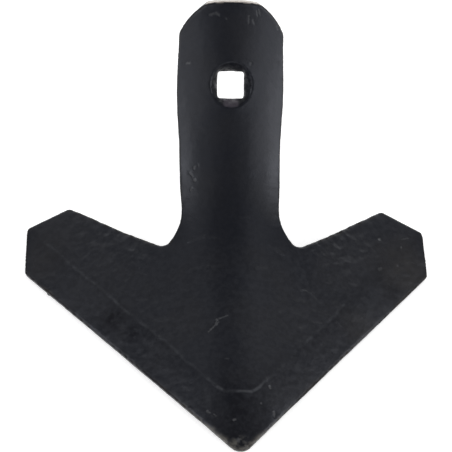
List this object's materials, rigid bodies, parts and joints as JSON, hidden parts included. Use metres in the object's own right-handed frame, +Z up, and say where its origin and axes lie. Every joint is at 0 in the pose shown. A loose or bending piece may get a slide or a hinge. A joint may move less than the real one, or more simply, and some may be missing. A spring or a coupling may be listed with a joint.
{
  "type": "cultivator sweep",
  "caption": "Black forged steel cultivator sweep: a pointed blade with two swept wings, bevelled cutting edges and an arched stem with a square bolt hole for fixing it to a tine.",
  "frame": {"origin": "centre of the bounding box in X and Y, on the ground that the point and both wing tips stand on", "axes": "+Z up, -Y the way the point travels, +X across to the right wing as seen from behind the stem"},
  "size_m": [0.1814, 0.1804, 0.1031],
  "materials": {
    "black_paint": "satin black paint over forged steel"
  },
  "bodies": {
    "root": {"sweep": "black_paint"}
  },
  "joints": []
}
